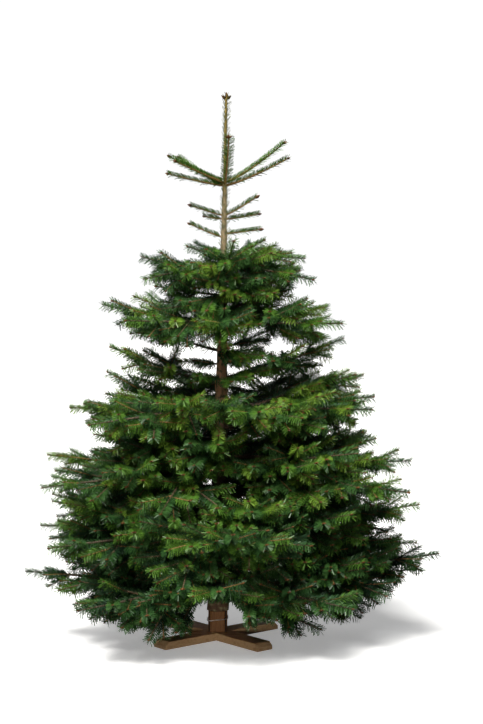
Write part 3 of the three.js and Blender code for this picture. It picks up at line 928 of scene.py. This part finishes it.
# each kind's lines, shape and nodes, and its bark's name, dull tone, bright tone and roughness
woodKinds = {
    "young_twigs": {"lines": "young", "shape": {"Sides": 3, "Relief": .0003}, "nodes": foliageNodes,
                    "bark": ("young_twig_bark", (.26, .12, .045), (.46, .25, .10), 0.6)},
    "old_twigs": {"lines": "old", "shape": {"Sides": 5, "Relief": .0005}, "nodes": foliageNodes,
                  "bark": ("old_twig_bark", (.10, .062, .038), (.20, .125, .075), 0.8)},
    "crown_twigs": {"lines": "crown", "shape": {"Sides": 6, "Relief": .0004}, "nodes": foliageNodes,
                    "bark": ("crown_twig_bark", (.30, .15, .05), (.46, .26, .09), 0.6)},
    "bough_limbs": {"lines": "bough", "shape": {"Sides": 10, "Relief": .0016, "Knobs": 140.0},
                    "nodes": boughNodes, "bark": ("bough_bark", (.085, .058, .040), (.19, .135, .09), 0.85)},
}
for name, kind in woodKinds.items():
    bark = twigBark(*kind["bark"])
    piece = meshFrom(name, woodLines[kind["lines"]], wood, {**kind["shape"], "Material": bark})
    standsFor(piece, "bough_bark", *kind["nodes"])
print("twigs and boughs made")

budSkin = budScales()
leaderTip = (np.array([trunkCentre(topZ - .04), trunkCentre(topZ - .024)]), [1, 1], math.pi / 2)


def budsOn(name, lines, size, seed, slotName, *replaced):
    values = {"Bud": budPiece, "Size": size, "Seed": seed, "Material": budSkin}
    standsFor(meshFrom(name, lines, buds, values), slotName, *replaced)


budsOn("shoot_buds", tipLines["shoot"], .88, 9, "needles", *foliageNodes)
budsOn("crown_buds", tipLines["crown"], 1.5, 3, "needles", *foliageNodes)
print("buds made")


def ringMesh(name, heights, outline, material):
    # a closed skin through rings of points at each height
    sides = trunk.sides
    points, faces = [], []
    for z in heights:
        centre = trunkCentre(z)
        for k in range(sides):
            angle = 2 * math.pi * k / sides
            radius = outline(angle, z)
            points.append((centre[0] + radius * math.cos(angle), centre[1] + radius * math.sin(angle), z))
    for r in range(len(heights) - 1):
        for k in range(sides):
            n = (k + 1) % sides
            faces.append((r * sides + k, r * sides + n, (r + 1) * sides + n, (r + 1) * sides + k))
    faces.append(tuple(range(sides - 1, -1, -1)))
    faces.append(tuple(range((len(heights) - 1) * sides, len(heights) * sides)))
    piece = meshObject(name, points, faces, material)
    piece.data.shade_smooth()
    for face in piece.data.polygons[-2:]:
        face.use_smooth = False
    return piece


barkRelief = Values(
    depth=0.0016, least=0.25, fade=1.3, fullRadius=.02,  # deepest low on the stout trunk
    fissure=(95, 24), fissureNoise=(0.9, 2.0, 3), fissureShare=.8, sunk=.35,
    knob=(240, 150), knobShare=.35,
    collar=0.16, collarHeight=.5, collarLeast=.012,  # how a whorl swells the trunk
    collarReach=2.5, collarPower=6,
)


def barkRadius(angle, z):
    # fissures low down fade to small bumps higher up; each whorl swells where its boughs leave
    radius = trunkRadius(z)
    x, y = trunkCentre(z)[0] + radius * math.cos(angle), radius * math.sin(angle)
    across, along = barkRelief.fissure
    fissure = noise.fractal(Vector((x * across, y * across, z * along)), *barkRelief.fissureNoise)
    across, along = barkRelief.knob
    knob = noise.noise(Vector((x * across, y * across, z * along)))
    low = max(0, 1 - trunkShare(z) * barkRelief.fade)
    depth = barkRelief.depth * (barkRelief.least + low) * min(1, radius / barkRelief.fullRadius)
    relief = fissure * barkRelief.fissureShare - barkRelief.sunk + barkRelief.knobShare * knob
    swell = 0
    for tier in tiers.values():
        away = (z - tier.height) / (barkRelief.collarHeight * radius + barkRelief.collarLeast)
        if abs(away) < barkRelief.collarReach:
            near = max(math.cos(angle - math.radians(bough[0])) for bough in tier.boughs)
            swell += math.exp(-away * away) * max(0, near) ** barkRelief.collarPower
    return radius + depth * relief + barkRelief.collar * radius * swell


foot = Values(
    height=0.078, half=0.0355, rings=16, lap=.0005, inset=.0002,
    ripple=.00025, rippleAcross=9, rippleAlong=30,
)


def squared(angle, half):
    return half / max(abs(math.cos(angle)), abs(math.sin(angle)))


def footRadius(angle, z):
    # four flats, cut from the round trunk
    across, along = foot.rippleAcross, foot.rippleAlong
    ripple = noise.noise(Vector((math.cos(angle) * across, math.sin(angle) * across, z * along)))
    return min(squared(angle, foot.half) + foot.ripple * ripple, trunkRadius(z) - foot.inset)


planedTop = footZ + foot.height
barkTop = topZ - trunk.barkEnd
barkHeights = list(np.arange(planedTop, barkTop, trunk.ringStep)) + [barkTop]
standsFor(ringMesh("trunk_bark", barkHeights, barkRadius, trunkBark()), "bark", "trunk")
footHeights = np.linspace(footZ, planedTop + foot.lap, foot.rings)
standsFor(ringMesh("planed_foot", footHeights, footRadius, planedFootWood()), "bark", "trunk")
budsOn("leader_buds", [leaderTip], 1.7, 2, "bark", "trunk")
for pattern in (needlePiece, budPiece):
    bpy.data.objects.remove(pattern)
print("trunk made")

wire = Values(height=.046, radius=.0019, slope=.105, clear=.0020, steps=96)


def wirePiece():
    # one turn round the planed foot, a little askew
    points = []
    for k in range(wire.steps):
        angle = 2 * math.pi * k / wire.steps
        radius = min(squared(angle, foot.half + wire.clear), trunkRadius(footZ) + wire.clear)
        x = radius * math.cos(angle)
        points.append((x, radius * math.sin(angle), footZ + wire.height + wire.slope * x, 1))
    data = bpy.data.curves.new("tie_wire", "CURVE")
    data.dimensions = "3D"
    data.bevel_depth = wire.radius
    data.bevel_resolution = 3
    spline = data.splines.new("POLY")
    spline.points.add(len(points) - 1)
    spline.points.foreach_set("co", np.array(points).ravel())
    spline.use_cyclic_u = True
    ring = link(bpy.data.objects.new("tie_wire_line", data))
    mesh = bpy.data.meshes.new_from_object(ring.evaluated_get(bpy.context.evaluated_depsgraph_get()))
    bpy.data.objects.remove(ring)
    mesh.materials.clear()
    mesh.materials.append(metalWire())
    return link(bpy.data.objects.new("tie_wire", mesh))


standsFor(wirePiece(), "tie_wire", "wire_band")

board = Values(
    length=.540, width=.072, thickness=.028, endSlope=.016, turn=40,
    bevel=.0018, gap=.0003, pale=(.50, .34, .19), dark=(.36, .22, .11),
)


def boardPiece(name, turn, lapFromTop):
    length, width, thickness = board.length, board.width, board.thickness
    half, middle, gap = length / 2, width / 2 + board.gap, board.gap / 2
    ends = [(-half, 0), (half, 0), (half, thickness / 2), (half - board.endSlope, thickness)]
    start = [(-half + board.endSlope, thickness), (-half, thickness / 2)]
    lapZ = thickness / 2 + (-gap if lapFromTop else gap)
    if lapFromTop:
        outline = ends + [(middle, thickness), (middle, lapZ), (-middle, lapZ), (-middle, thickness)] + start
    else:
        outline = [ends[0], (-middle, 0), (-middle, lapZ), (middle, lapZ), (middle, 0)] + ends[1:] + start
    points = [(x, -width / 2, z) for x, z in outline] + [(x, width / 2, z) for x, z in outline]
    n = len(outline)
    faces = [tuple(range(n)), tuple(range(2 * n - 1, n - 1, -1))]
    faces += [(k, n + k, n + (k + 1) % n, (k + 1) % n) for k in range(n)]
    alongGrain = (0, math.radians(90), math.radians(-turn))
    sawn = sawnWood(name + "_wood", board.pale, board.dark, alongGrain)
    piece = meshObject(name, points, faces, sawn)
    mesh = bmesh.new()
    mesh.from_mesh(piece.data)
    bmesh.ops.recalc_face_normals(mesh, faces=mesh.faces)
    bmesh.ops.transform(mesh, matrix=Matrix.Rotation(math.radians(turn), 4, "Z"), verts=mesh.verts)
    mesh.to_mesh(piece.data)
    mesh.free()
    bevel = piece.modifiers.new("worn edges", "BEVEL")
    bevel.width = board.bevel
    bevel.segments = 2
    bevel.limit_method = "ANGLE"
    return piece


standsFor(boardPiece("lower_board", board.turn, True), "stand_board", "stand_board_lower")
standsFor(boardPiece("upper_board", board.turn + 90, False), "stand_board", "stand_board_upper")
print("foot, wire and stand made")

camera = Values(
    distance=5.2, height=1.20, aimX=.0892, aimZ=1.0316, frameHeight=2.691,
    sensor=36, farthest=60,
)
lamps = {
    "front fill": {"place": (.5, -3.4, 2.7), "aim": (0, 0, 1.3), "size": 2.2, "power": 10},
    "crown light": {"place": (.7, -2.6, 2.9), "aim": (0, -.2, 1.0), "size": .8, "power": 3.6, "spread": 50},
    "back fill": {"place": (-1.2, 4.8, 2.4), "aim": (0, 0, .9), "size": 2.4, "power": 55},
    "foot light": {"place": (-.25, -2.6, .30), "aim": (0, 0, .09), "size": .25, "power": .40, "spread": 22,
                   "tint": (1, .92, .80)},
}
sun = Values(power=5.0, angle=24, tint=(1, .985, .95), toward=(.32, .54, -1))
backdrop = Values(light=.045, seen=1.05)
ground = Values(reach=60, lit=colour(.12, .12, .115), seen=grey(.96), glow=grey(.30))


def aimed(thing, toward):
    thing.rotation_euler = Vector(toward).to_track_quat("-Z", "Y").to_euler()


def placeCamera():
    data = bpy.data.cameras.new("camera")
    thing = link(bpy.data.objects.new("camera", data))
    thing.location = (camera.aimX, -camera.distance, camera.height)
    toAim = Vector((camera.aimX, 0, camera.aimZ)) - thing.location
    aimed(thing, toAim)
    data.sensor_width = camera.sensor
    data.lens = camera.sensor * toAim.length / camera.frameHeight
    data.clip_end = camera.farthest
    scene.camera = thing


def placeLamps():
    for name, lamp in lamps.items():
        data = bpy.data.lights.new(name, "AREA")
        data.shape = "SQUARE"
        data.size = lamp["size"]
        data.energy = lamp["power"]
        data.color = lamp.get("tint", (1, 1, 1))
        data.spread = math.radians(lamp.get("spread", 180))
        thing = link(bpy.data.objects.new(name, data))
        thing.location = lamp["place"]
        aimed(thing, Vector(lamp["aim"]) - Vector(lamp["place"]))


def placeSun():
    data = bpy.data.lights.new("key", "SUN")
    data.energy = sun.power
    data.angle = math.radians(sun.angle)
    data.color = sun.tint
    aimed(link(bpy.data.objects.new("key", data)), sun.toward)


def seenByCamera(tree):
    return tree.nodes.new("ShaderNodeLightPath").outputs["Is Camera Ray"]


def placeBackdrop():
    # the backdrop is white, yet lights the tree only a little
    world = bpy.data.worlds.new("soft sky")
    scene.world = world
    world.use_nodes = True
    tree = world.node_tree
    strength = nodeOut(tree, "ShaderNodeMapRange",
                       {0: seenByCamera(tree), 3: backdrop.light, 4: backdrop.seen})
    sky = tree.nodes["Background"]
    sky.inputs["Color"].default_value = grey(1)
    tree.links.new(strength, sky.inputs["Strength"])


def placeFloor():
    material, tree, surface = newMaterial("pale_floor", 0.9, 0.1)
    seen = seenByCamera(tree)
    coat(tree, surface, mixColour(tree, seen, ground.lit, ground.seen))
    # the floor's own glow only lifts its shadow for the camera, it lights nothing
    tree.links.new(seen, surface.inputs["Emission Strength"])
    surface.inputs["Emission Color"].default_value = ground.glow
    reach = ground.reach
    corners = [(-reach, -reach, 0), (reach, -reach, 0), (reach, reach, 0), (-reach, reach, 0)]
    meshObject("floor", corners, [(0, 1, 2, 3)], material)


placeCamera()
placeLamps()
placeSun()
placeBackdrop()
placeFloor()
scene.view_settings.view_transform = "Standard"
scene.view_settings.look = "None"
print("camera, floor and light placed")
